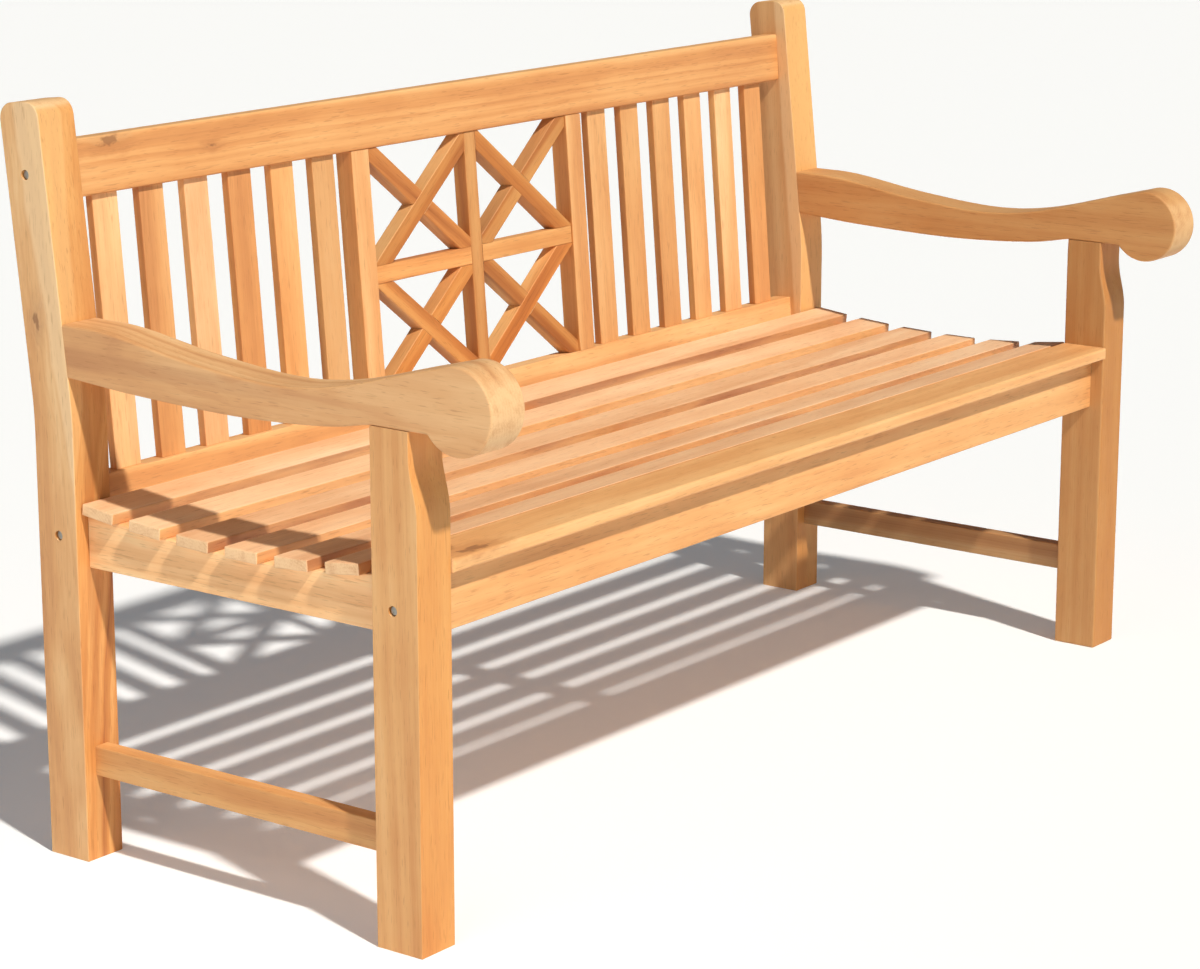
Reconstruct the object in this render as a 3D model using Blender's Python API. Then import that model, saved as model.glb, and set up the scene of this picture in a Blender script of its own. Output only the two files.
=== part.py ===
"""Teak garden bench with a lattice panel in its back: a three-seater made as a joiner would make it.

Metres, +Z up. The bench is 1.6 m long along X, its sitters face -Y and it stands on Z = 0.
Left and right are as seen from the front, so left is -X. Everything is drawn with Y = 0 on the
front faces of the front legs, and the empty "bench" then centres it on the origin.
The back panel is drawn upright in the empty "back_panel", which leans it back.
"""

import math

import bmesh
import bpy
from mathutils import Vector

# ---- Overall sizes ------------------------------------------------------------------------------
LENGTH = 1.600              # over the outer faces of the legs
POST_HEIGHT = 0.918         # top of the rear posts
LEG_WIDTH = 0.058           # legs, rear posts and armrests, along X
LEG_DEPTH = 0.066           # front leg, front to back
LEG_HEIGHT = 0.604          # shoulder of the front leg, under the armrest
POST_DEPTH = 0.064          # rear post, front to back
POST_FRONT = 0.526          # front face of the rear post's upright part
POST_BEND_START = 0.524     # height where the rear post starts to lean back
POST_BEND_RADIUS = 0.500    # of the bend's back edge
POST_RAKE = math.radians(6.2)
POST_END_RADIUS = 0.020     # rounding of the top end, front and back
LEG_RECESS = 0.011          # hollow in the leg's front under the armrest
LEG_RECESS_LOW = 0.505      # height where the hollow starts
LEG_RECESS_HIGH = 0.575     # height where it is at its full depth

# ---- Seat ---------------------------------------------------------------------------------------
SEAT_LOW = 0.430            # top of the slats at the lowest point of the dished seat
SEAT_LOW_Y = 0.265          # where that lowest point is
DISH_RADIUS_FRONT = 1.220   # curve of the seat in front of it
DISH_RADIUS_REAR = 2.090    # curve of the seat behind it
SLAT_COUNT = 6              # slats that run over the side rails
SLAT_WIDTH = 0.0505
SLAT_THICKNESS = 0.014
SLAT_END_INSET = 0.008      # slat ends stop this far inside the legs' outer faces
SLAT_POST_GAP = 0.003       # rear slat to the front of the rear posts
FRONT_SLAT_WIDTH = 0.071
FRONT_SLAT_OVERHANG = 0.004  # front slat in front of the legs' front faces
FRONT_SLAT_THICKNESS = 0.016
FRONT_SLAT_TOP = 0.452

# ---- Rails and stretchers -----------------------------------------------------------------------
APRON_SETBACK = 0.020       # front seat rail behind the front faces of the legs
RAIL_THICKNESS = 0.032      # front and rear seat rails
APRON_BOTTOM = 0.362
SIDE_RAIL_INSET = 0.020     # side rail behind the outer faces of the legs
SIDE_RAIL_THICKNESS = 0.024
SIDE_RAIL_BOTTOM = 0.365
REAR_RAIL_SETBACK = 0.014   # rear seat rail behind the front faces of the posts
REAR_RAIL_BOTTOM = 0.376
REAR_RAIL_TOP = 0.432
BEARER_WIDTH = 0.040        # centre bearer under the seat slats
BEARER_BOTTOM = 0.378
STRETCHER_THICKNESS = 0.022
STRETCHER_BOTTOM = 0.106
STRETCHER_HEIGHT = 0.037

# ---- Back panel, measured in its own leaning plane ----------------------------------------------
PANEL_RAKE = math.radians(4.5)
PANEL_SETBACK = 0.020       # panel front behind the post front, at the top of the lower rail
PANEL_FOOT = 0.467          # height of the lower back rail's top edge
POST_CROWN = 0.0502         # rear post standing above the top back rail
BACK_RAIL_THICKNESS = 0.028
LOWER_RAIL_HEIGHT = 0.031
TOP_RAIL_HEIGHT = 0.069
STILE_WIDTH = 0.034
LATTICE_WIDTH = 0.420       # between the two stiles
BACK_SLATS = 6              # on each side of the lattice
BACK_SLAT_WIDTH = 0.042
BACK_SLAT_THICKNESS = 0.012
BACK_SLAT_POST_GAP = 0.040  # outermost slat to the post
BACK_SLAT_STILE_GAP = 0.026  # innermost slat to the stile
SLAT_HOUSING = 0.008        # how deep a back slat sits in each rail
LATTICE_BAR = 0.024         # width of every lattice bar
LATTICE_DEPTH = 0.022       # thickness of every lattice bar
LATTICE_SETBACK = 0.003     # lattice behind the front of the rails

# ---- Armrests -----------------------------------------------------------------------------------
SCROLL_RADIUS = 0.050
SCROLL_Y = -0.056           # axis of the scroll
SCROLL_Z = 0.634
ARM_REAR_TOP = 0.661        # armrest's top where it meets the post
ARM_REAR_BOTTOM = 0.598
ARM_WAIST_TOP = 0.631       # lowest part of its top edge
ARM_WAIST_BOTTOM = 0.587

# ---- Joints and fasteners -----------------------------------------------------------------------
FIT = 0.0003                # gap between touching faces, and around every tenon and pin
ROOT = 0.004                # how far a tenon starts inside its own piece
TENON_THICKNESS = 0.014     # tenons of the long rails
TENON_DEPTH = 0.025
SIDE_TENON_THICKNESS = 0.012
SIDE_TENON_DEPTH = 0.0185   # stops short of the long rails' tenons
BEARER_TENON = 0.015
TENON_SHOULDER = 0.008      # shoulder above and below a tenon
STILE_TENON = 0.012
ARM_TENON = 0.026           # length of the tenons that hold an armrest
BOLT_RADIUS = 0.003
BOLT_LENGTH = 0.092         # under the head
BOLT_HEAD_RADIUS = 0.005
BOLT_HEAD_RECESS = 0.0025   # head below the wood's surface
COUNTERBORE_RADIUS = 0.0062
BOLT_HEAD_HEIGHT = 0.003
SOCKET_FLATS = 0.005        # across the flats of the hex socket
SOCKET_DEPTH = 0.0018
NUT_RADIUS = 0.005
NUT_LENGTH = 0.020
NUT_INSET = 0.030           # barrel nut's axis from the rail's shoulder
BOLT_CLEARANCE = 0.0004     # around the shank and the head

# ---- Worked out from the sizes above ------------------------------------------------------------
HALF = LENGTH / 2
INNER = HALF - LEG_WIDTH                        # inner faces of legs and posts
LEG_CENTRE = HALF - LEG_WIDTH / 2
POST_BACK = POST_FRONT + POST_DEPTH
BEND_CENTRE = (POST_BACK + POST_BEND_RADIUS, POST_BEND_START)
FRONT_SLAT_BOTTOM = FRONT_SLAT_TOP - FRONT_SLAT_THICKNESS
APRON_TOP = FRONT_SLAT_BOTTOM - FIT
APRON_BACK = APRON_SETBACK + RAIL_THICKNESS
REAR_RAIL_FRONT = POST_FRONT + REAR_RAIL_SETBACK
SEAT_REAR = POST_FRONT - SLAT_POST_GAP
SLAT_GAP = (SEAT_REAR + FRONT_SLAT_OVERHANG - FRONT_SLAT_WIDTH - SLAT_COUNT * SLAT_WIDTH) / SLAT_COUNT
STRETCHER_INSET = (LEG_WIDTH - STRETCHER_THICKNESS) / 2
HALF_LATTICE = LATTICE_WIDTH / 2
STILE_OUTER = HALF_LATTICE + STILE_WIDTH
PANEL_TOP = (POST_HEIGHT - POST_CROWN - PANEL_FOOT) / math.cos(PANEL_RAKE)
PANEL_OPENING = PANEL_TOP - TOP_RAIL_HEIGHT    # between the two back rails
PANEL_FRONT = POST_FRONT + PANEL_SETBACK

TEAK = (0.66, 0.40, 0.19)
STEEL = (0.62, 0.62, 0.60)


# ---- Workshop helpers ---------------------------------------------------------------------------
def clear_scene():
    """Remove whatever the file holds, so that only the bench is left."""
    for thing in list(bpy.data.objects):
        bpy.data.objects.remove(thing, do_unlink=True)


def new_collection(name):
    """A collection linked to the scene."""
    group = bpy.data.collections.new(name)
    bpy.context.scene.collection.children.link(group)
    return group


def new_empty(name, location, rotation=(0, 0, 0), parent=None):
    """An empty that places what is parented to it."""
    empty = bpy.data.objects.new(name, None)
    empty.location = location
    empty.rotation_euler = rotation
    empty.parent = parent
    PARTS.objects.link(empty)
    return empty


def new_material(name, colour, roughness, metallic):
    """A plain Principled material."""
    material = bpy.data.materials.new(name)
    material.use_nodes = True
    shader = material.node_tree.nodes["Principled BSDF"]
    shader.inputs["Base Color"].default_value = (*colour, 1)
    shader.inputs["Roughness"].default_value = roughness
    shader.inputs["Metallic"].default_value = metallic
    return material


def add_piece(name, mesh, colour=TEAK, roughness=0.6, metallic=0.0, parent=None):
    """One named piece of the bench with a material of its own."""
    piece = bpy.data.objects.new(name, mesh)
    piece.parent = parent or BENCH
    piece.data.materials.append(new_material(name + "_finish", colour, roughness, metallic))
    PARTS.objects.link(piece)
    return piece


def add_cutter(mesh, parent):
    """A helper solid that is only used by Boolean modifiers."""
    cutter = bpy.data.objects.new("cutter", mesh)
    cutter.parent = parent
    cutter.hide_render = True
    cutter.display_type = "WIRE"
    CUTTERS.objects.link(cutter)
    return cutter


def mesh_from(bm, name):
    """Finish a bmesh with outward faces and return it as mesh data."""
    bmesh.ops.recalc_face_normals(bm, faces=bm.faces)
    mesh = bpy.data.meshes.new(name)
    bm.to_mesh(mesh)
    bm.free()
    return mesh


def box_bmesh(low, high):
    """A bmesh box between two corners."""
    low = Vector(low)
    high = Vector(high)
    bm = bmesh.new()
    bmesh.ops.create_cube(bm, size=1)
    bmesh.ops.scale(bm, vec=high - low, verts=bm.verts)
    bmesh.ops.translate(bm, vec=(low + high) / 2, verts=bm.verts)
    return bm


def box(low, high):
    """Mesh data of a box between two corners."""
    return mesh_from(box_bmesh(low, high), "box")


def grown(low, high, margin):
    """The two corners of a box, moved outwards by a margin."""
    step = Vector((margin, margin, margin))
    return Vector(low) - step, Vector(high) + step


def plank(outline, x_low, x_high):
    """A board cut to a side outline of (y, z) points and as wide as x_low to x_high."""
    curve = bpy.data.curves.new("outline", "CURVE")
    curve.dimensions = "2D"
    curve.fill_mode = "BOTH"
    curve.extrude = (x_high - x_low) / 2
    spline = curve.splines.new("POLY")
    spline.points.add(len(outline) - 1)
    for point, (y, z) in zip(spline.points, outline):
        point.co = (y, z, 0, 1)
    spline.use_cyclic_u = True
    drawing = bpy.data.objects.new("outline", curve)
    drawing.rotation_euler = (math.pi / 2, 0, math.pi / 2)
    drawing.location = ((x_low + x_high) / 2, 0, 0)
    CUTTERS.objects.link(drawing)
    bpy.context.view_layer.update()
    graph = bpy.context.evaluated_depsgraph_get()
    mesh = bpy.data.meshes.new_from_object(drawing.evaluated_get(graph))
    mesh.transform(drawing.matrix_world)
    bpy.data.objects.remove(drawing, do_unlink=True)
    bm = bmesh.new()
    bm.from_mesh(mesh)
    bmesh.ops.remove_doubles(bm, verts=bm.verts, dist=0.00005)
    return mesh_from(bm, "board")


def rod(radius, start, length, axis, sides=24):
    """A cylinder from a start point along an axis."""
    bm = bmesh.new()
    bmesh.ops.create_cone(bm, cap_ends=True, segments=sides, radius1=radius, radius2=radius, depth=length)
    turn = Vector((0, 0, 1)).rotation_difference(Vector(axis)).to_matrix()
    bmesh.ops.rotate(bm, cent=(0, 0, 0), matrix=turn, verts=bm.verts)
    bmesh.ops.translate(bm, vec=Vector(start) + Vector(axis) * (length / 2), verts=bm.verts)
    return mesh_from(bm, "rod")


def boolean(piece, mesh, operation, parent=None):
    """Join a helper solid to a piece, or take it away."""
    modifier = piece.modifiers.new(operation.lower(), "BOOLEAN")
    modifier.operation = operation
    modifier.solver = "EXACT"
    modifier.object = add_cutter(mesh, parent or BENCH)


def joint(tenon_piece, mortise_piece, low, high, parent=None):
    """Give one piece a tenon between two corners, and the other a mortise that fits it."""
    boolean(tenon_piece, box(low, high), "UNION", parent)
    boolean(mortise_piece, box(*grown(low, high, FIT)), "DIFFERENCE", parent)


def sided(side, *xs):
    """A range of distances from the middle, put on the left (-1) or the right (+1)."""
    return sorted(side * x for x in xs)


def smooth_curve(points, steps=9):
    """A smooth line through the given points, with a few steps between each pair."""
    ends = [2 * Vector(points[0]) - Vector(points[1])]
    ends += [Vector(point) for point in points]
    ends += [2 * Vector(points[-1]) - Vector(points[-2])]
    line = []
    for a, b, c, d in zip(ends, ends[1:], ends[2:], ends[3:]):
        for step in range(steps):
            t = step / steps
            cubic = (3 * b - a - 3 * c + d) * t ** 3 + (2 * a - 5 * b + 4 * c - d) * t ** 2
            line.append(tuple((cubic + (c - a) * t + 2 * b) / 2))
    return line + [tuple(points[-1])]


def arc(centre, radius, start, end, steps):
    """Points on an arc, with its angles in degrees from +Y towards +Z."""
    angles = [math.radians(start + (end - start) * i / steps) for i in range(steps + 1)]
    return [(centre[0] + radius * math.cos(a), centre[1] + radius * math.sin(a)) for a in angles]


# ---- Shapes that several pieces share -----------------------------------------------------------
def seat_height(y):
    """Height of the dished seat's surface."""
    radius = DISH_RADIUS_REAR if y > SEAT_LOW_Y else DISH_RADIUS_FRONT
    return SEAT_LOW + (y - SEAT_LOW_Y) ** 2 / (2 * radius)


def seat_slope(y):
    """Angle of the dished seat's surface."""
    radius = DISH_RADIUS_REAR if y > SEAT_LOW_Y else DISH_RADIUS_FRONT
    return math.atan((y - SEAT_LOW_Y) / radius)


def rail_outline(front, back, bottom, steps=16):
    """A rail whose top carries the slats: level below, dished above."""
    ys = [front + (back - front) * i / steps for i in range(steps + 1)]
    top = [(y, seat_height(y) - SLAT_THICKNESS) for y in ys]
    return [(back, bottom), (front, bottom)] + top


def post_edge(distance, z):
    """Y of the post's leaning part at a height, a distance behind its front edge."""
    radius = POST_BEND_RADIUS + POST_DEPTH - distance
    y = BEND_CENTRE[0] - radius * math.cos(POST_RAKE)
    start = BEND_CENTRE[1] + radius * math.sin(POST_RAKE)
    return y + (z - start) * math.tan(POST_RAKE)


def post_outline():
    """Side view of a rear post: upright below, leaning above, its top rounded over."""
    rake = math.degrees(POST_RAKE)
    front_bend = arc(BEND_CENTRE, POST_BEND_RADIUS + POST_DEPTH, 180, 180 - rake, 12)
    back_bend = arc(BEND_CENTRE, POST_BEND_RADIUS, 180 - rake, 180, 12)
    top = POST_HEIGHT - POST_END_RADIUS
    lean = math.tan(POST_RAKE)
    front_y = post_edge(0, top) + POST_END_RADIUS / math.cos(POST_RAKE)
    back_y = post_edge(POST_DEPTH, top) - POST_END_RADIUS / math.cos(POST_RAKE)
    drop = (back_y - front_y) * lean
    front_end = arc((front_y, top), POST_END_RADIUS, 180 - rake, 90 - rake, 10)
    back_end = arc((back_y - drop * lean, top - drop), POST_END_RADIUS, 90 - rake, -rake, 10)
    foot = [(POST_BACK, 0), (POST_FRONT, 0)]
    return foot + front_bend + front_end + back_end + back_bend


def leg_outline(steps=12):
    """Side view of a front leg: its front eases back to a hollow under the armrest."""
    front = []
    for i in range(steps + 1):
        share = i / steps
        z = LEG_RECESS_LOW + (LEG_RECESS_HIGH - LEG_RECESS_LOW) * share
        front.append((LEG_RECESS * (1 - math.cos(math.pi * share)) / 2, z))
    return [(LEG_DEPTH, 0), (0, 0)] + front + [(LEG_RECESS, LEG_HEIGHT), (LEG_DEPTH, LEG_HEIGHT)]


def arm_outline():
    """Side view of an armrest: a hump at the post, a low waist, and a round scroll in front."""
    rear_top = (post_edge(0, ARM_REAR_TOP) - FIT, ARM_REAR_TOP)
    rear_bottom = (post_edge(0, ARM_REAR_BOTTOM) - FIT, ARM_REAR_BOTTOM)
    reach = rear_top[0] - LEG_DEPTH
    seat = LEG_HEIGHT + FIT
    hump = ARM_REAR_TOP - ARM_WAIST_TOP
    rise = SCROLL_Z + SCROLL_RADIUS - ARM_WAIST_TOP
    top = smooth_curve([
        rear_top,
        (LEG_DEPTH + reach * 0.84, ARM_REAR_TOP - hump * 0.08),
        (LEG_DEPTH + reach * 0.58, ARM_WAIST_TOP + hump * 0.33),
        (LEG_DEPTH + reach * 0.32, ARM_WAIST_TOP),
        (LEG_DEPTH + reach * 0.12, ARM_WAIST_TOP + rise * 0.16),
        (LEG_RECESS, ARM_WAIST_TOP + rise * 0.70),
        (SCROLL_Y + SCROLL_RADIUS * 0.35, SCROLL_Z + SCROLL_RADIUS * 0.937),
    ])
    drop = math.degrees(math.asin((SCROLL_Z - seat) / SCROLL_RADIUS))
    scroll = arc((SCROLL_Y, SCROLL_Z), SCROLL_RADIUS, 78, 360 - drop, 40)
    underside = smooth_curve([
        (LEG_DEPTH, seat),
        (LEG_DEPTH + reach * 0.15, ARM_WAIST_BOTTOM + (seat - ARM_WAIST_BOTTOM) * 0.35),
        (LEG_DEPTH + reach * 0.42, ARM_WAIST_BOTTOM),
        (LEG_DEPTH + reach * 0.75, ARM_WAIST_BOTTOM + (ARM_REAR_BOTTOM - ARM_WAIST_BOTTOM) * 0.35),
        rear_bottom,
    ])
    return top + scroll + underside


# ---- End frames ---------------------------------------------------------------------------------
def end_frame(side, word):
    """Post, leg, armrest, seat side rail and stretcher of one end, jointed together."""
    outer_faces = sided(side, INNER, HALF)
    post = add_piece(f"rear_post_{word}", plank(post_outline(), *outer_faces))
    leg = add_piece(f"front_leg_{word}", plank(leg_outline(), *outer_faces))
    arm = add_piece(f"armrest_{word}", plank(arm_outline(), *outer_faces))

    x_low, x_high = sided(side, HALF - SIDE_RAIL_INSET, HALF - SIDE_RAIL_INSET - SIDE_RAIL_THICKNESS)
    front = LEG_DEPTH + FIT
    back = POST_FRONT - FIT
    rail = add_piece(
        f"seat_side_rail_{word}",
        plank(rail_outline(front, back, SIDE_RAIL_BOTTOM), x_low, x_high),
    )
    side_joints(rail, leg, post, (x_low + x_high) / 2, SIDE_RAIL_BOTTOM, SEAT_LOW - SLAT_THICKNESS)

    x_low, x_high = sided(side, HALF - STRETCHER_INSET, HALF - STRETCHER_INSET - STRETCHER_THICKNESS)
    bottom = STRETCHER_BOTTOM
    top = STRETCHER_BOTTOM + STRETCHER_HEIGHT
    stretcher = add_piece(f"stretcher_{word}", box((x_low, front, bottom), (x_high, back, top)))
    side_joints(stretcher, leg, post, side * LEG_CENTRE, bottom, top)

    arm_joints(arm, leg, post, side)
    return post, leg


def side_joints(rail, leg, post, x, bottom, top):
    """Tenons at both ends of a side piece, into the back of the leg and the front of the post."""
    x_low = x - SIDE_TENON_THICKNESS / 2
    x_high = x + SIDE_TENON_THICKNESS / 2
    low = bottom + TENON_SHOULDER
    high = top - TENON_SHOULDER
    joint(rail, leg, (x_low, LEG_DEPTH - SIDE_TENON_DEPTH, low), (x_high, LEG_DEPTH + ROOT, high))
    joint(rail, post, (x_low, POST_FRONT - ROOT, low), (x_high, POST_FRONT + SIDE_TENON_DEPTH, high))


def arm_joints(arm, leg, post, side):
    """A tenon on top of the leg enters the armrest, and one behind the armrest enters the post."""
    x_low, x_high = sided(side, LEG_CENTRE - LEG_WIDTH / 4, LEG_CENTRE + LEG_WIDTH / 4)
    y_low = LEG_RECESS + TENON_SHOULDER
    y_high = LEG_DEPTH - TENON_SHOULDER
    joint(leg, arm, (x_low, y_low, LEG_HEIGHT - ROOT), (x_high, y_high, LEG_HEIGHT + ARM_TENON))
    z_low = ARM_REAR_BOTTOM + 2 * TENON_SHOULDER
    z_high = ARM_REAR_TOP - 2 * TENON_SHOULDER
    y_start = post_edge(0, z_low) - 2 * ROOT
    y_end = post_edge(0, z_high) + ARM_TENON
    joint(arm, post, (x_low, y_start, z_low), (x_high, y_end, z_high))


# ---- Seat ---------------------------------------------------------------------------------------
def seat_rails(posts, legs):
    """The two long rails and the centre bearer that ties them together."""
    shoulder = INNER - FIT
    apron = add_piece(
        "front_seat_rail",
        box((-shoulder, APRON_SETBACK, APRON_BOTTOM), (shoulder, APRON_BACK, APRON_TOP)),
    )
    rear_back = REAR_RAIL_FRONT + RAIL_THICKNESS
    rear = add_piece(
        "rear_seat_rail",
        box((-shoulder, REAR_RAIL_FRONT, REAR_RAIL_BOTTOM), (shoulder, rear_back, REAR_RAIL_TOP)),
    )
    apron_middle = APRON_SETBACK + RAIL_THICKNESS / 2
    rear_middle = REAR_RAIL_FRONT + RAIL_THICKNESS / 2
    for side, post, leg in zip((-1, 1), posts, legs):
        long_joint(apron, leg, side, apron_middle, APRON_BOTTOM, APRON_TOP)
        long_joint(rear, post, side, rear_middle, REAR_RAIL_BOTTOM, REAR_RAIL_TOP)

    front = APRON_BACK + FIT
    back = REAR_RAIL_FRONT - FIT
    half = BEARER_WIDTH / 2
    bearer = add_piece("seat_bearer", plank(rail_outline(front, back, BEARER_BOTTOM), -half, half))
    low = BEARER_BOTTOM + TENON_SHOULDER
    high = SEAT_LOW - SLAT_THICKNESS - TENON_SHOULDER
    thick = half / 2
    joint(bearer, apron, (-thick, APRON_BACK - BEARER_TENON, low), (thick, APRON_BACK + ROOT, high))
    reach = REAR_RAIL_FRONT + BEARER_TENON
    joint(bearer, rear, (-thick, REAR_RAIL_FRONT - ROOT, low), (thick, reach, high))
    return apron, rear


def long_joint(rail, upright, side, y, bottom, top, parent=None):
    """The tenon at one end of a long rail, into the inner face of a leg or post."""
    x_low, x_high = sided(side, INNER - ROOT, INNER + TENON_DEPTH)
    low = (x_low, y - TENON_THICKNESS / 2, bottom + TENON_SHOULDER)
    high = (x_high, y + TENON_THICKNESS / 2, top - TENON_SHOULDER)
    joint(rail, upright, low, high, parent)


def seat_slats():
    """Six slats over the side rails and a wider one between the front legs."""
    half = HALF - SLAT_END_INSET
    for number in range(SLAT_COUNT):
        middle = SEAT_REAR - SLAT_WIDTH / 2 - number * (SLAT_WIDTH + SLAT_GAP)
        radius = DISH_RADIUS_REAR if middle > SEAT_LOW_Y else DISH_RADIUS_FRONT
        clear = FIT + (SLAT_WIDTH / 2) ** 2 / (2 * radius)
        low = (-half, -SLAT_WIDTH / 2, -SLAT_THICKNESS)
        slat = add_piece(f"seat_slat_{number + 1}", box(low, (half, SLAT_WIDTH / 2, 0)))
        slat.location = (0, middle, seat_height(middle) + clear)
        slat.rotation_euler = (seat_slope(middle), 0, 0)
    end = INNER - FIT
    low = (-end, -FRONT_SLAT_OVERHANG, FRONT_SLAT_BOTTOM)
    high = (end, FRONT_SLAT_WIDTH - FRONT_SLAT_OVERHANG, FRONT_SLAT_TOP)
    add_piece("front_seat_slat", box(low, high))


# ---- Back panel, drawn upright: X along, Y into the back, Z up from the lower rail's top edge ----
def back_rails(posts):
    """The top and lower back rails, tenoned into the posts."""
    end = INNER - FIT
    thick = BACK_RAIL_THICKNESS
    top = add_piece(
        "back_top_rail",
        box((-end, 0, PANEL_OPENING), (end, thick, PANEL_TOP)),
        parent=PANEL,
    )
    lower = add_piece("back_lower_rail", box((-end, 0, -LOWER_RAIL_HEIGHT), (end, thick, 0)), parent=PANEL)
    for side, post in zip((-1, 1), posts):
        long_joint(top, post, side, thick / 2, PANEL_OPENING, PANEL_TOP, PANEL)
        long_joint(lower, post, side, thick / 2, -LOWER_RAIL_HEIGHT, 0, PANEL)
    return top, lower


def upright(name, x_low, x_high, depth_low, depth_high, rails, tongue, shoulder):
    """An upright of the back panel with a tongue at each end, and its housings in both rails."""
    top, lower = rails
    low = (x_low, depth_low, FIT)
    high = (x_high, depth_high, PANEL_OPENING - FIT)
    piece = add_piece(name, box(low, high), parent=PANEL)
    inner_low = (x_low + shoulder, depth_low + shoulder / 2)
    inner_high = (x_high - shoulder, depth_high - shoulder / 2)
    joint(piece, lower, (*inner_low, -tongue), (*inner_high, ROOT), PANEL)
    joint(piece, top, (*inner_low, PANEL_OPENING - ROOT), (*inner_high, PANEL_OPENING + tongue), PANEL)
    return piece


def back_uprights(rails):
    """Two stiles beside the lattice and six slats between each stile and its post."""
    stiles = []
    for side, word in ((-1, "left"), (1, "right")):
        x_low, x_high = sided(side, HALF_LATTICE, STILE_OUTER)
        name = f"back_stile_{word}"
        stiles.append(upright(name, x_low, x_high, 0, BACK_RAIL_THICKNESS, rails, STILE_TENON, 0.006))
        first = STILE_OUTER + BACK_SLAT_STILE_GAP
        last = INNER - BACK_SLAT_POST_GAP - BACK_SLAT_WIDTH
        pitch = (last - first) / (BACK_SLATS - 1)
        depth = (BACK_RAIL_THICKNESS - BACK_SLAT_THICKNESS) / 2
        for number in range(BACK_SLATS):
            near = first + number * pitch
            x_low, x_high = sided(side, near, near + BACK_SLAT_WIDTH)
            name = f"back_slat_{word}_{number + 1}"
            upright(name, x_low, x_high, depth, depth + BACK_SLAT_THICKNESS, rails, SLAT_HOUSING, 0.002)
    return stiles


def lattice(rails, stiles):
    """Upright, two crossbars, a diamond of four bars, and four diagonals lapped behind it."""
    front = LATTICE_SETBACK
    back = LATTICE_SETBACK + LATTICE_DEPTH
    half_bar = LATTICE_BAR / 2
    middle = PANEL_OPENING / 2
    upright("lattice_upright", -half_bar, half_bar, front, back, rails, SLAT_HOUSING, 0.004)
    for side, word, stile in ((-1, "left", stiles[0]), (1, "right", stiles[1])):
        x_low, x_high = sided(side, half_bar + FIT, HALF_LATTICE - FIT)
        low = (x_low, front, middle - half_bar)
        bar = add_piece(f"lattice_crossbar_{word}", box(low, (x_high, back, middle + half_bar)), parent=PANEL)
        x_low, x_high = sided(side, HALF_LATTICE - ROOT, HALF_LATTICE + SLAT_HOUSING)
        low = (x_low, front + 0.004, middle - half_bar + 0.004)
        joint(bar, stile, low, (x_high, back - 0.004, middle + half_bar - 0.004), PANEL)
        for rise, level in ((1, "upper"), (-1, "lower")):
            lattice_corner(side, rise, f"{level}_{word}")


def sloping_bar(start, end, depth_low, depth_high, width):
    """A bar of the lattice between two points of the panel, still square and too long."""
    start = Vector((start[0], 0, start[1]))
    end = Vector((end[0], 0, end[1]))
    run = end - start
    half = run.length / 2 + LATTICE_BAR * 2
    bm = box_bmesh((-half, depth_low, -width / 2), (half, depth_high, width / 2))
    turn = Vector((1, 0, 0)).rotation_difference(run).to_matrix()
    bmesh.ops.rotate(bm, cent=(0, 0, 0), matrix=turn, verts=bm.verts)
    bmesh.ops.translate(bm, vec=(start + end) / 2, verts=bm.verts)
    return bm


def saw(bm, point, normal):
    """Saw a solid through a point and throw away the side that the normal points to."""
    geometry = bm.verts[:] + bm.edges[:] + bm.faces[:]
    plane = {"plane_co": (point[0], 0, point[1]), "plane_no": (normal[0], 0, normal[1])}
    cut = bmesh.ops.bisect_plane(bm, geom=geometry, dist=1e-6, clear_outer=True, **plane)
    edges = [item for item in cut["geom_cut"] if isinstance(item, bmesh.types.BMEdge)]
    bmesh.ops.edgeloop_fill(bm, edges=edges)


def lattice_corner(side, rise, word):
    """One quarter of the lattice: a diamond bar in front and a diagonal lapped behind it."""
    front = LATTICE_SETBACK
    back = LATTICE_SETBACK + LATTICE_DEPTH
    half_bar = LATTICE_BAR / 2
    middle = PANEL_OPENING / 2
    centre = (0, middle)
    corner = (side * HALF_LATTICE, middle + rise * middle)
    rail_point = (0, corner[1])
    stile_point = (corner[0], middle)
    gap_upright = (side * (half_bar + FIT), middle)
    gap_crossbar = (0, middle + rise * (half_bar + FIT))
    gap_stile = (side * (HALF_LATTICE - FIT), middle)
    gap_rail = (0, corner[1] - rise * FIT)
    edges = (
        (gap_upright, (-side, 0)),
        (gap_crossbar, (0, -rise)),
        (gap_stile, (side, 0)),
        (gap_rail, (0, rise)),
    )

    diamond = sloping_bar(rail_point, stile_point, front, back, LATTICE_BAR)
    diagonal = sloping_bar(centre, corner, front, back, LATTICE_BAR)
    for bm in (diamond, diagonal):
        for point, normal in edges:
            saw(bm, point, normal)
    diamond = add_piece(f"lattice_diamond_{word}", mesh_from(diamond, "bar"), parent=PANEL)
    diagonal = add_piece(f"lattice_diagonal_{word}", mesh_from(diagonal, "bar"), parent=PANEL)

    lap = (front + back) / 2
    room = LATTICE_BAR + 2 * FIT
    past = LATTICE_DEPTH
    behind = sloping_bar(centre, corner, lap - FIT / 2, back + past, room)
    ahead = sloping_bar(rail_point, stile_point, front - past, lap + FIT / 2, room)
    boolean(diamond, mesh_from(behind, "lap"), "DIFFERENCE", PANEL)
    boolean(diagonal, mesh_from(ahead, "lap"), "DIFFERENCE", PANEL)


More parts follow.
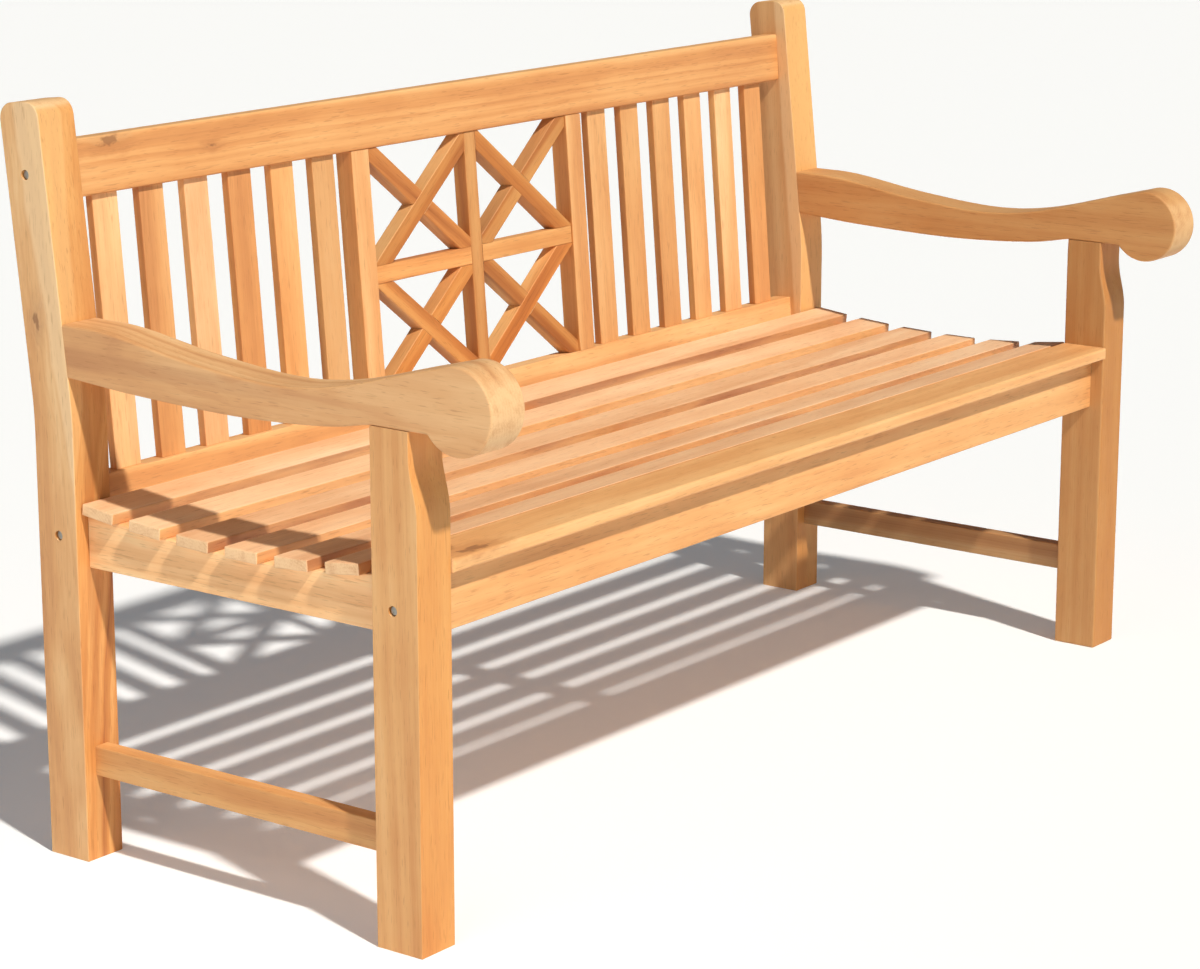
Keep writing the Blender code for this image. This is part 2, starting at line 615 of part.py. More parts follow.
# ---- Bolts and barrel nuts ----------------------------------------------------------------------
def bolt_joint(name, side, word, y, z, rail, upright_piece, parent=None):
    """A socket-head bolt through an upright into a barrel nut that sits across the rail."""
    seat = HALF - BOLT_HEAD_RECESS - BOLT_HEAD_HEIGHT - FIT
    inward = (-side, 0, 0)
    bolt = add_piece(
        f"{name}_bolt_{word}",
        rod(BOLT_HEAD_RADIUS, (side * (seat + BOLT_HEAD_HEIGHT), y, z), BOLT_HEAD_HEIGHT, inward),
        STEEL, 0.35, 1.0, parent,
    )
    shank = rod(BOLT_RADIUS, (side * (seat + BOLT_HEAD_HEIGHT / 2), y, z), BOLT_LENGTH, inward, 16)
    boolean(bolt, shank, "UNION", parent)
    socket_radius = SOCKET_FLATS / math.sqrt(3)
    outside = (side * (HALF + SOCKET_DEPTH), y, z)
    reach = SOCKET_DEPTH * 2 + FIT
    boolean(bolt, rod(socket_radius, outside, reach, inward, 6), "DIFFERENCE", parent)

    hole_radius = BOLT_RADIUS + BOLT_CLEARANCE
    depth = BOLT_LENGTH + BOLT_HEAD_HEIGHT * 4
    hole = rod(hole_radius, (side * (HALF + BOLT_HEAD_HEIGHT), y, z), depth, inward)
    for piece in (upright_piece, rail):
        boolean(piece, hole.copy(), "DIFFERENCE", parent)
    outside = (side * (HALF + BOLT_HEAD_HEIGHT), y, z)
    head_room = BOLT_HEAD_HEIGHT * 2 + BOLT_HEAD_RECESS + FIT * 2
    counterbore = rod(COUNTERBORE_RADIUS, outside, head_room, inward)
    boolean(upright_piece, counterbore, "DIFFERENCE", parent)

    nut_x = side * (INNER - NUT_INSET)
    start = (nut_x, y - NUT_LENGTH / 2, z)
    nut = add_piece(
        f"{name}_nut_{word}", rod(NUT_RADIUS, start, NUT_LENGTH, (0, 1, 0)), STEEL, 0.4, 1.0, parent,
    )
    boolean(nut, hole.copy(), "DIFFERENCE", parent)
    pocket = rod(NUT_RADIUS + FIT, (nut_x, y - NUT_LENGTH / 2 - FIT, z), NUT_LENGTH * 2, (0, 1, 0))
    boolean(rail, pocket, "DIFFERENCE", parent)


def bolts(posts, legs, apron, rear, top):
    """Three bolts at each end: apron, rear seat rail and top back rail."""
    apron_y = APRON_SETBACK + RAIL_THICKNESS / 2
    apron_z = (APRON_BOTTOM + APRON_TOP) / 2
    rear_y = REAR_RAIL_FRONT + RAIL_THICKNESS / 2
    rear_z = (REAR_RAIL_BOTTOM + REAR_RAIL_TOP) / 2
    top_z = PANEL_OPENING + TOP_RAIL_HEIGHT / 2
    for side, word, post, leg in zip((-1, 1), ("left", "right"), posts, legs):
        bolt_joint("leg", side, word, apron_y, apron_z, apron, leg)
        bolt_joint("seat", side, word, rear_y, rear_z, rear, post)
        bolt_joint("back", side, word, BACK_RAIL_THICKNESS / 2, top_z, top, post, PANEL)


# ---- Put the bench together ---------------------------------------------------------------------
clear_scene()
PARTS = new_collection("garden_bench")
CUTTERS = new_collection("cutters")

front_most = SCROLL_Y - SCROLL_RADIUS
rear_most = max(y for y, z in post_outline())
BENCH = new_empty("bench", (0, -(front_most + rear_most) / 2, 0))
PANEL = new_empty("back_panel", (0, PANEL_FRONT, PANEL_FOOT), (-PANEL_RAKE, 0, 0), BENCH)

left_post, left_leg = end_frame(-1, "left")
right_post, right_leg = end_frame(1, "right")
both_posts = (left_post, right_post)
both_legs = (left_leg, right_leg)
front_rail, rear_rail = seat_rails(both_posts, both_legs)
seat_slats()
panel_rails = back_rails(both_posts)
lattice(panel_rails, back_uprights(panel_rails))
bolts(both_posts, both_legs, front_rail, rear_rail, panel_rails[0])
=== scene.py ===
# %% [markdown]
# # A three-seat teak garden bench
# The joinery already exists as 59 separate solids: posts, legs, armrests, rails,
# slats, a lattice and a few bolts. This lesson puts them in a plain studio and
# dresses them: every board gets the softened edges that sandpaper leaves and its
# own piece of teak. Loading the solids first fixes every position, so nothing
# below has to be placed by eye.

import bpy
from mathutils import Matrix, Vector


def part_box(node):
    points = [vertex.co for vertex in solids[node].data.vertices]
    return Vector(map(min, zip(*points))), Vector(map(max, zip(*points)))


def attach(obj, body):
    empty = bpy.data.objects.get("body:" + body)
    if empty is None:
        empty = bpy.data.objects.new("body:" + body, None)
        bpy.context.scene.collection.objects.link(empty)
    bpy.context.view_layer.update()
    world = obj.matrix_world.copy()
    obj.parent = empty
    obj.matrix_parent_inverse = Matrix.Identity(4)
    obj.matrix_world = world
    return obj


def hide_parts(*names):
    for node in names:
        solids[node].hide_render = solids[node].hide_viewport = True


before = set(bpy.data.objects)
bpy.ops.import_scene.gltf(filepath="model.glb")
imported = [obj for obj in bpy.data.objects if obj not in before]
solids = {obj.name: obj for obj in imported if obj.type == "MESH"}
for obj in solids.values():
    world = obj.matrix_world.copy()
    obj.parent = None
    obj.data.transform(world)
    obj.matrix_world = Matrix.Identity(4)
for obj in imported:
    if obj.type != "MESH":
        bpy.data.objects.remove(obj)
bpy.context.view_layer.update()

# %% Tools used below
import math
import random

import bmesh
import bpy
from mathutils import Matrix, Vector
from mathutils.bvhtree import BVHTree

# %% [markdown]
# ## Camera
# A long lens from the left, a little above the seat, shows the outside of one end
# and the whole front with little distortion. The place and turn are plain numbers
# in metres and degrees, because they describe where a person would stand.

# %% Stand to the left, a little above the seat
STAND = (-3.482, -2.529, 1.398)
LOOK_DOWN = 13.63
LOOK_RIGHT = 53.02

lens = bpy.data.cameras.new("camera")
lens.lens = 100.2
lens.sensor_width = 36.0
camera = bpy.data.objects.new("camera", lens)
camera.location = STAND
camera.rotation_euler = (math.radians(90 - LOOK_DOWN), 0.0, math.radians(-LOOK_RIGHT))
bpy.context.scene.collection.objects.link(camera)
bpy.context.scene.camera = camera
print("camera at", tuple(camera.location))

# %% [markdown]
# ## Shader arithmetic
# Wood is built from many small sums. Python can write them the way they are said,
# if one small class wraps a socket and turns +, -, * and / into Math nodes.

# %% A socket that can do sums
class Wire:
    """A node's output, with arithmetic."""

    def __init__(self, socket):
        self.socket = socket

    def sum(self, operation, first, second=None):
        tree = self.socket.id_data
        node = tree.nodes.new("ShaderNodeMath")
        node.operation = operation
        for slot, value in zip(node.inputs, (first, second)):
            if isinstance(value, Wire):
                tree.links.new(value.socket, slot)
            elif value is not None:
                slot.default_value = value
        return Wire(node.outputs[0])

    def __add__(self, other):
        return self.sum("ADD", self, other)

    def __radd__(self, other):
        return self.sum("ADD", other, self)

    def __sub__(self, other):
        return self.sum("SUBTRACT", self, other)

    def __rsub__(self, other):
        return self.sum("SUBTRACT", other, self)

    def __mul__(self, other):
        return self.sum("MULTIPLY", self, other)

    def __rmul__(self, other):
        return self.sum("MULTIPLY", other, self)

    def __truediv__(self, other):
        return self.sum("DIVIDE", self, other)

    def __pow__(self, other):
        return self.sum("POWER", self, other)

    def fraction(self):
        return self.sum("FRACT", self)

    def floor(self):
        return self.sum("FLOOR", self)

    def absolute(self):
        return self.sum("ABSOLUTE", self)

    def smallest(self, other):
        return self.sum("MINIMUM", self, other)


# %% Every other node comes from one method
class Nodes:
    """A node tree, a method that adds any node to it, and a few that are used often."""

    def __init__(self, tree):
        self.tree = tree

    def add(self, kind, settings=None, sockets=None, output=0):
        """A node: its settings are set first, then the values or links of its sockets."""
        node = self.tree.nodes.new("ShaderNode" + kind)
        for key, value in (settings or {}).items():
            if key == "stops":
                ramp = node.color_ramp
                while len(ramp.elements) < len(value):
                    ramp.elements.new(0.5)
                for element, (place, colour) in zip(ramp.elements, value):
                    element.position = place
                    element.color = (*colour, 1)
            else:
                setattr(node, key, value)
        for key, value in (sockets or {}).items():
            self.feed(node.inputs[key], value)
        return Wire(node.outputs[output])

    def feed(self, slot, value):
        """Link a wire to a socket, or set the socket to a plain value."""
        if isinstance(value, Wire):
            self.tree.links.new(value.socket, slot)
        else:
            slot.default_value = value

    def split(self, vector):
        """The three numbers of a vector, each as a wire."""
        first = self.add("SeparateXYZ", None, {0: vector})
        return [Wire(socket) for socket in first.socket.node.outputs]

    def noise(self, vector, scale, shift, detail=2.0, roughness=0.5):
        """Noise stretched by a scale for each axis, moved to a place of its own."""
        place = self.add("Mapping", None, {"Vector": vector, "Scale": scale, "Location": shift})
        return self.add("TexNoise", None, {
            "Vector": place, "Scale": 1.0, "Detail": detail, "Roughness": roughness,
        })

    def step(self, value, low, high, start=0.0, end=1.0):
        """A smooth step from start at low to end at high."""
        return self.add("MapRange", {"interpolation_type": "SMOOTHSTEP"}, {
            "Value": value, "From Min": low, "From Max": high, "To Min": start, "To Max": end,
        })

    def blend(self, share, first, second, how="MIX"):
        """Mix two colours, each a wire or three numbers."""
        colours = [c if isinstance(c, Wire) else (*c, 1) for c in (first, second)]
        settings = {"data_type": "RGBA", "blend_type": how}
        return self.add("Mix", settings, {0: share, 6: colours[0], 7: colours[1]}, 2)


# %% A material is a node tree with a shader at its end
class Finish(Nodes):
    """A material and its Principled shader."""

    def __init__(self, name):
        self.material = bpy.data.materials.new(name)
        self.material.use_nodes = True
        super().__init__(self.material.node_tree)
        self.shader = self.tree.nodes["Principled BSDF"]

    def coat(self, values):
        """Feed the shader's sockets, by their names."""
        for key, value in values.items():
            self.feed(self.shader.inputs[key], value)


# %% [markdown]
# ## Floor and light
# The bench stands on a pale seamless floor, which glows a very little so that it
# stays white where the lamps leave it grey. The key is a warm, distant lamp in
# front, a little to the left and halfway up the sky: a Sun lamp lights both ends
# of a long bench alike, where an area lamp would fade along it. It is small enough
# to draw the shadows of the armrests and slats, which show how deep things are. A
# weak fill stands to the left, and cool, dim surroundings do the rest. A view
# transform that leaves colours alone keeps the honey colour of fresh teak.

# %% Pale floor
FLOOR_REACH = 60.0
FLOOR_PAINT = {
    "Base Color": (0.93, 0.96, 0.98, 1), "Roughness": 0.9, "Specular IOR Level": 0.1,
    "Emission Color": (0.90, 0.94, 1.0, 1), "Emission Strength": 0.09,
}


def pale_floor():
    """A big flat sheet at the level of the feet."""
    bm = bmesh.new()
    bmesh.ops.create_grid(bm, x_segments=1, y_segments=1, size=FLOOR_REACH)
    mesh = bpy.data.meshes.new("floor")
    bm.to_mesh(mesh)
    bm.free()
    floor = bpy.data.objects.new("floor", mesh)
    bpy.context.scene.collection.objects.link(floor)
    paint = Finish("floor_paint")
    paint.coat(FLOOR_PAINT)
    mesh.materials.append(paint.material)
    return floor


pale_floor()
print("floor reaches", FLOOR_REACH, "m each way")


# %% A warm key and a weak fill
def lamp(name, kind, place, target, power, colour, **more):
    """A lamp at a place, turned towards a target and unseen by the camera."""
    data = bpy.data.lights.new(name, kind)
    data.energy = power
    data.color = colour
    for key, value in more.items():
        setattr(data, key, value)
    thing = bpy.data.objects.new(name, data)
    thing.location = place
    thing.rotation_euler = (Vector(target) - Vector(place)).to_track_quat("-Z", "Y").to_euler()
    thing.visible_camera = False
    bpy.context.scene.collection.objects.link(thing)
    return thing


lamp(
    "key", "SUN", place=(-1.6, -5.25, 6.8), target=(0, 0, 0.4),
    power=3.55, colour=(1.0, 0.94, 0.865), angle=math.radians(2.4),
)
lamp(
    "fill", "AREA", place=(-2.1, -0.4, 0.9), target=(-0.8, 0, 0.45),
    power=5.0, colour=(1.0, 0.98, 0.97), size=1.2,
)


# %% Surroundings, pale at the horizon, dimmer and bluer overhead
HORIZON_AIR, OVERHEAD_AIR = (0.97, 0.98, 1.0), (0.70, 0.87, 1.0)
HORIZON_GLOW, OVERHEAD_GLOW = 0.28, 0.11

world = bpy.data.worlds.new("surroundings")
world.use_nodes = True
sky = Nodes(world.node_tree)
height = sky.split(sky.add("TexCoord", None, None, "Generated"))[2]
background = sky.tree.nodes["Background"]
sky.feed(background.inputs["Strength"], sky.step(height, 0.02, 0.6, HORIZON_GLOW, OVERHEAD_GLOW))
sky.feed(background.inputs["Color"], sky.blend(height, HORIZON_AIR, OVERHEAD_AIR))
bpy.context.scene.world = world
bpy.context.scene.view_settings.view_transform = "Standard"

# %% [markdown]
# ## Softened edges
# A sawn board has sharp arrises, and before a bench leaves the workshop they are
# all taken off with sandpaper, because they splinter and catch clothes. They also
# catch the light: a thin pale line along every board is what makes a bench look
# real. A Bevel modifier with an angle limit would be quicker, but it would also
# open up the rims of the mortises. So each solid is copied, its triangles are
# merged, and bmesh bevels only the edges that a hand could reach.

# %% Find the edges that a hand can reach
OFF_THE_FACE = 0.0002
WIDEST_MORTISE = 0.09
SHOULDER_GAP = 0.0009


def in_open_air(edge, tree):
    """False for the rim of a mortise or bolt hole: a ray across it meets the other wall."""
    middle = (edge.verts[0].co + edge.verts[1].co) / 2
    for loop in edge.link_loops:
        along = (loop.link_loop_next.vert.co - loop.vert.co).normalized()
        away = along.cross(loop.face.normal)
        start = middle + away * OFF_THE_FACE - loop.face.normal * OFF_THE_FACE
        if tree.ray_cast(start, away, WIDEST_MORTISE)[0] is not None:
            return False
    return True


def touches(edge, neighbours):
    """True where the whole edge lies against another board, as at a shoulder."""
    a, b = edge.verts[0].co, edge.verts[1].co
    for tree in neighbours:
        nearest = [tree.find_nearest(a.lerp(b, t), SHOULDER_GAP)[0] for t in (0.1, 0.5, 0.9)]
        if all(point is not None for point in nearest):
            return True
    return False


trees = {}
for name, solid in solids.items():
    points = [v.co.copy() for v in solid.data.vertices]
    trees[name] = BVHTree.FromPolygons(points, [tuple(p.vertices) for p in solid.data.polygons])
print(len(trees), "search trees")


def neighbours_of(name, near=0.002):
    """Search trees of the solids whose boxes meet this one's."""
    low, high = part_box(name)
    found = []
    for other, tree in trees.items():
        if other != name:
            a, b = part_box(other)
            if all(a[i] - near < high[i] and b[i] + near > low[i] for i in range(3)):
                found.append(tree)
    return found


# %% Copy a solid and sand its edges
SHARP = math.radians(28)
ALMOST_CROSSWISE = math.cos(math.radians(30))
SMOOTH_STRIP, SMOOTH_FACE = math.radians(50), math.radians(11)


def sanded(name, radius, grain, segments=3):
    """A copy of a solid with its outer edges rounded, marked in a face layer named eased."""
    bm = bmesh.new()
    bm.from_mesh(solids[name].data)
    bmesh.ops.remove_doubles(bm, verts=bm.verts, dist=0.00001)
    bmesh.ops.dissolve_limit(bm, angle_limit=math.radians(0.4), verts=bm.verts, edges=bm.edges)
    bmesh.ops.recalc_face_normals(bm, faces=bm.faces)
    tree = BVHTree.FromBMesh(bm)
    neighbours = neighbours_of(name)
    chosen = []
    for edge in bm.edges:
        if len(edge.link_faces) != 2 or edge.calc_face_angle_signed(0) < SHARP:
            continue
        direction = (edge.verts[1].co - edge.verts[0].co).normalized()
        crosswise = abs(direction.dot(grain)) < ALMOST_CROSSWISE
        if in_open_air(edge, tree) and not (crosswise and touches(edge, neighbours)):
            chosen.append(edge)
    made = bmesh.ops.bevel(
        bm, geom=chosen, offset=radius, offset_type="OFFSET", segments=segments,
        profile=0.5, affect="EDGES", clamp_overlap=True, material=-1,
    )
    eased = bm.faces.layers.float.new("eased")
    strips = {face for face in made["faces"] if face.is_valid}
    for face in bm.faces:
        face.smooth = True
        face[eased] = 1.0 if face in strips else 0.0
    for edge in bm.edges:
        if len(edge.link_faces) == 2:
            both = all(face in strips for face in edge.link_faces)
            edge.smooth = edge.calc_face_angle(0) < (SMOOTH_STRIP if both else SMOOTH_FACE)
    mesh = bpy.data.meshes.new(name + "_board")
    bm.to_mesh(mesh)
    bm.free()
    piece = bpy.data.objects.new(name + "_board", mesh)
    bpy.context.scene.collection.objects.link(piece)
    return piece, len(chosen)


# %% [markdown]
# ## Colours of teak
# Fresh teak runs from straw to chestnut in one board. Five colours in a row cover
# that, and the rest are for its special places: sapwood, knots, sawn ends, sanded
# edges with a painted highlight, and faces with a deeper colour and painted shade.
# Every board then moves all of them a little lighter or darker, and a little redder
# or yellower, so that no two boards match.

# %% The palette
def linear(red, green, blue):
    """Colour numbers of a paint chart (0 to 255) as the shader's linear ones."""
    return tuple(((c / 255 + 0.055) / 1.055) ** 2.4 for c in (red, green, blue))


PALE = linear(250, 212, 158)
LIGHT = linear(240, 190, 132)
HONEY = linear(227, 169, 111)
TAN = linear(206, 145, 93)
HEART = linear(165, 108, 68)
SAPWOOD = linear(250, 216, 166)
KNOT = linear(120, 74, 46)
END = linear(238, 196, 142)
# pale sanded wood with a painted highlight, for the softened edges
PALE_EDGE_AND_HIGHLIGHT = linear(253, 224, 178)
# a deeper colour with painted shade for the faces along one axis, from gold to russet
GOLDEN_AND_SHADE = (0.95, 0.77, 0.50)
RUSSET_AND_SHADE = (0.52, 0.32, 0.22)
print("from straw", [round(c, 2) for c in PALE], "to chestnut", [round(c, 2) for c in HEART])


def tinted(colour, tone, warmth):
    """A colour made darker or lighter by tone, and redder or yellower by warmth."""
    red, green, blue = colour
    k = 1 + tone
    return (
        min(red * k * (1 + warmth * 0.3), 0.98),
        green * k * (1 - max(warmth, 0) * 0.25),
        blue * k * (1 - warmth),
    )


# %% [markdown]
# ## The axes of a board
# A board is a straight cut through rings that are nearly round. Painted lines on
# each face wouldn't meet at the edges, so the finish works in the space of the
# board instead: along the fibres, across the board and through it. Whatever is
# measured there meets at every edge, as it does in real timber.

# %% A finish with the board's own axes
ALONG, ACROSS, THROUGH = 0, 1, 2


def board_axes(grain):
    """Rows along the grain, across the board and through it."""
    along = grain.normalized()
    side = Vector((1, 0, 0)) if abs(along.x) < 0.5 else Vector((0, 1, 0))
    across = (side - along * side.dot(along)).normalized()
    return Matrix((along, across, along.cross(across)))


class Board(Finish):
    """The finish of one board, measured from its middle in its own axes."""

    def __init__(self, name, centre, grain, shift, tone, warmth):
        super().__init__(name + "_teak")
        self.axes, self.centre, self.shift = board_axes(grain), centre, shift
        self.tone, self.warmth = tone, warmth
        self.place = self.add("Mapping", None, {
            "Vector": self.add("TexCoord", None, None, "Object"),
            "Rotation": self.axes.to_euler(), "Location": -(self.axes @ centre),
        })
        self.x, self.y, self.z = self.split(self.place)
        self.fibre = self.figure((8, 420, 420), 0.7, 3.0, 0.62)
        self.streaks = self.figure((1.6, 75, 75), 1.7, 3.0, 0.6)
        self.cloud = self.figure((6, 17, 17), 0.4, 3.0, 0.55)

    def figure(self, scale, away, detail=2.0, roughness=0.5):
        """Noise in the board's axes, which away keeps from repeating another one."""
        return self.noise(self.place, scale, self.shift * away, detail, roughness)

    def facing(self, row):
        """How squarely a face looks along one of the axes, from 0 to 1."""
        return self.add("VectorMath", {"operation": "DOT_PRODUCT"}, {
            0: self.add("TexCoord", None, None, "Normal"), 1: tuple(self.axes[row]),
        }, "Value").absolute()


# %% [markdown]
# ## Rings and knots
# The pith, the centre of the tree, lies somewhere outside the board and a little
# askew. The distance to it gives straight or arched figure on the long faces and
# arcs on the ends. Teak's rings are uneven: the outer part of each is darker, and
# some years are stronger than others. A knot is the foot of a branch, and the
# rings bend round it.

# %% The distance to the pith
RING = 0.0042


def from_the_pith(wood, pith, tilt):
    """Metres from the pith, which slants a little and wanders."""
    wander = wood.figure((3.4, 8, 8), 1.0, 3.0, 0.55)
    wobble = wood.figure((14, 30, 30), 1.3)
    u = wood.y - pith[0] + wood.x * tilt[0] + (wander - 0.5) * 0.034
    v = wood.z - pith[1] + wood.x * tilt[1] + (wobble - 0.5) * 0.003
    return (u * u + v * v) ** 0.5


def late_wood(wood, radius):
    """The dark outer part of each ring, and the same with weak and strong years."""
    count = (radius + (wood.cloud - 0.5) * RING * 1.5) / RING
    phase = count.fraction()
    late = wood.step(phase, 0.25, 0.9) * (1 - wood.step(phase, 0.9, 1.0))
    year = wood.add("TexWhiteNoise", {"noise_dimensions": "1D"}, {"W": count.floor()})
    return late, late * year * year


# %% Bend the rings round the knots
def round_knots(wood, radius, knots):
    """The bent distance to the pith, and how far inside a core or a halo each place is."""
    ragged = wood.figure((70, 150, 150), 1.9)
    cores, halos = [], []
    for place, size in knots:
        spot = wood.axes @ (Vector(place) - wood.centre)
        dx, dy, dz = (wood.x - spot.x) * 0.4, wood.y - spot.y, wood.z - spot.z
        far = (dx * dx + dy * dy + dz * dz) ** 0.5 + (ragged - 0.5) * size * 2.2
        radius = radius + (1 - wood.step(far, 0.0, size * 3.0)) * size * 1.1
        cores.append(1 - wood.step(far, size * 0.45, size * 1.0))
        halos.append(1 - wood.step(far, size * 0.6, size * 3.4))
    return radius, sum(cores).smallest(1.0), sum(halos).smallest(1.0)


# %% [markdown]
# ## From one shade to the next
# One number from pale to dark runs through the five colours. Broad zones of the
# tree, soft clouds, single fibres, ring ends and long streaks are added up in it.
# Everything after that is a layer laid over the colour so far, in the order in
# which it would hide what is below: streaks of heartwood, sapwood, pores, knots.

# %% Plain wood
def plain_wood(wood, radius, rings, contrast, streak):
    """Zones, fibres and streaks between the five colours."""
    band = wood.add("TexNoise", {"noise_dimensions": "1D"}, {
        "W": radius + wood.shift.x, "Scale": 46.0, "Detail": 1.5, "Roughness": 0.5,
    })
    zone = wood.step(band, 0.33, 0.67)
    shade = (
        0.05 + zone * 0.40 * contrast + wood.cloud * 0.50 + wood.fibre * 0.20
        + rings * 0.14 * contrast + (wood.streaks - 0.5) * 0.34 * contrast - 0.10
    )
    colours = [tinted(c, wood.tone, wood.warmth) for c in (PALE, LIGHT, HONEY, TAN, HEART)]
    stops = list(zip((0.08, 0.34, 0.56, 0.84, 1.0), colours))
    tint = wood.add("ValToRGB", {"stops": stops}, {"Fac": shade})
    dark_streak = wood.step(wood.figure((0.55, 26, 26), 2.1, 1.0), 0.60, 0.74)
    heart = tinted(HEART, wood.tone * 0.5 + 0.12, wood.warmth)
    return wood.blend(dark_streak * streak, tint, heart)


# %% Sapwood and knots
def with_sapwood(wood, tint, radius, sapwood):
    """Pale young wood further than sapwood from the pith, with a frayed border."""
    frayed = radius + (wood.streaks - 0.5) * 0.006
    pale = wood.step(frayed, sapwood - 0.003, sapwood + 0.003)
    return wood.blend(pale * 0.72, tint, tinted(SAPWOOD, wood.tone * 0.5, wood.warmth * 0.5))


def with_knots(wood, tint, core, halo):
    """A brown ring round each knot and a darker core."""
    tint = wood.blend(halo * 0.34, tint, tinted(HEART, wood.tone + 0.1, wood.warmth))
    return wood.blend(core * 0.6, tint, KNOT)


# %% [markdown]
# ## Narrow faces, ends and edges
# Some faces of a board differ from the others. The faces that look along one chosen axis,
# such as the narrow faces of the slats and the fronts and backs of the posts and legs, turn
# a deeper golden or russet colour in soft patches: partly a deeper colour of the wood, partly
# painted shade that darkens those faces against the tops. Sawn ends show cut pores, not lines.
# Edges that were sanded are paler: partly the pale sanded wood, partly a painted
# highlight along the rounding. The normal tells which way a face looks, and
# the layer that the sanding left behind tells where the edges are.

# %% Faces that differ from the rest
def with_deep_faces(wood, tint, row, russet_and_shade):
    """A deeper colour, partly painted shade, on the faces that look along one axis; the russet
    share turns it from gold to brown.
    """
    mottle = wood.step(wood.figure((4.5, 40, 40), 0.8), 0.36, 0.64)
    # deeper colour of the wood and painted shade, multiplied onto the faces along the axis
    deeper = wood.blend((mottle * 0.6 + 0.4) * russet_and_shade, GOLDEN_AND_SHADE, RUSSET_AND_SHADE)
    share = wood.step(wood.facing(row), 0.6, 0.9) * 0.9
    return wood.blend(share, tint, deeper, "MULTIPLY")


def with_sawn_ends(wood, tint, ends, speckle, late):
    """Cut pores and blotches where the fibres end."""
    patch = wood.figure((60, 60, 60), 0.6)
    sawn = wood.blend(
        wood.step(late * 0.06 + speckle * 0.4 + patch * 0.6, 0.40, 0.90),
        tinted(END, wood.tone * 0.6, wood.warmth * 0.4),
        tinted(TAN, wood.tone * 0.5, wood.warmth * 0.6),
    )
    return wood.blend(ends * 0.92, tint, sawn)


def with_sanded_and_highlit_edges(wood, tint):
    """Paler wood on the softened edges, partly sanded wood and partly a painted highlight, more
    in some places than in others.
    """
    eased = wood.add("Attribute", {"attribute_name": "eased"}, None, "Fac")
    # pale sanded wood plus a painted highlight along the softened edges
    worn_and_highlit = eased * (0.30 + wood.cloud * 0.25)
    return wood.blend(worn_and_highlit, tint, tinted(PALE_EDGE_AND_HIGHLIGHT, wood.tone * 0.5, wood.warmth * 0.3))


# %% [markdown]
# ## One board's teak
# All of that comes together for one board. What a board doesn't say about its own
# tree is drawn from a generator, always in the same order. Oiled teak has a satin
# shine: fibres, pores and sawn ends are rougher, and they also stand a few tenths
# of a millimetre high or low, so they feed the bump as well.

# %% The finish of one board
def teak(name, centre, grain, chance, tone, warmth, contrast, streak,
         pith=None, tilt=None, sapwood=None, knots=(), deep=None):
    """Teak for one board; contrast and streak say how lively its figure is."""
    pith = pith or (chance.uniform(-0.05, 0.05), -chance.uniform(0.035, 0.12))
    tilt = tilt or (chance.uniform(-0.03, 0.03), chance.uniform(-0.022, 0.022))
    shift = Vector([chance.uniform(-40, 40) for _ in range(3)])
    wood = Board(name, centre, grain, shift, tone, warmth)

    radius = from_the_pith(wood, pith, tilt)
    if knots:
        radius, core, halo = round_knots(wood, radius, knots)
    late, rings = late_wood(wood, radius)
    tint = plain_wood(wood, radius, rings, contrast, streak)
    if sapwood:
        tint = with_sapwood(wood, tint, radius, sapwood)
    pore = wood.step(wood.figure((42, 600, 600), 0.9, 1.0), 0.60, 0.70) * (1 - late * 0.6)
    tint = wood.blend(pore * 0.30, tint, tinted(HEART, -0.1, 0))
    if knots:
        tint = with_knots(wood, tint, core, halo)
    # deeper colour and painted shade on the faces that look along one axis
    if deep:
        tint = with_deep_faces(wood, tint, *deep)
    ends = wood.step(wood.facing(ALONG), 0.62, 0.86)
    speckle = wood.figure((500, 500, 500), 1.1, 2.0, 0.6)
    tint = with_sawn_ends(wood, tint, ends, speckle, late)
    # paler sanded edges with a painted highlight
    tint = with_sanded_and_highlit_edges(wood, tint)

    rough = 0.50 + wood.fibre * 0.14 + pore * 0.10 + ends * 0.12 - rings * 0.06
    relief = wood.fibre * 0.55 - pore * 0.5 - rings * 0.15 + ends * speckle * 0.4
    bump = wood.add("Bump", None, {"Height": relief, "Strength": 0.45, "Distance": 0.0004})
    wood.coat({
        "Base Color": tint, "Roughness": rough, "Specular IOR Level": 0.42, "Normal": bump,
    })
    return wood.material


# %% [markdown]
# ## Boards
# Each board says which way its fibres run, how much its edges are softened and
# what its own timber is like. Fibres always follow the length of a board: along
# the bench in the rails and seat slats, upwards in the posts, and along the slope
# in the lattice. Posts and armrests are rounded most, because people hold them.

# %% Which way the fibres run, and how soft the edges are
RAKE = math.radians(4.5)
ALONG_BENCH = Vector((1, 0, 0))
FRONT_TO_BACK = Vector((0, 1, 0))
UPRIGHT = Vector((0, 0, 1))
UP_THE_BACK = Vector((0, math.sin(RAKE), math.cos(RAKE)))

# How a name begins, the direction of its fibres, the radius of its softened edges.
CUTS = (
    (("rear_post", "front_leg"), UPRIGHT, 0.0030),
    (("armrest",), FRONT_TO_BACK, 0.0028),
    (("seat_side_rail", "stretcher", "seat_bearer"), FRONT_TO_BACK, 0.0018),
    (("back_slat", "back_stile", "lattice_upright"), UP_THE_BACK, 0.0016),
    (("lattice_diamond", "lattice_diagonal"), None, 0.0013),
    (("front_seat_slat",), ALONG_BENCH, 0.0030),
    (("back_top_rail",), ALONG_BENCH, 0.0028),
    (("front_seat_rail",), ALONG_BENCH, 0.0022),
    (("seat_slat",), ALONG_BENCH, 0.0016),
    (("rear_seat_rail", "back_lower_rail", "lattice_crossbar"), ALONG_BENCH, 0.0014),
)


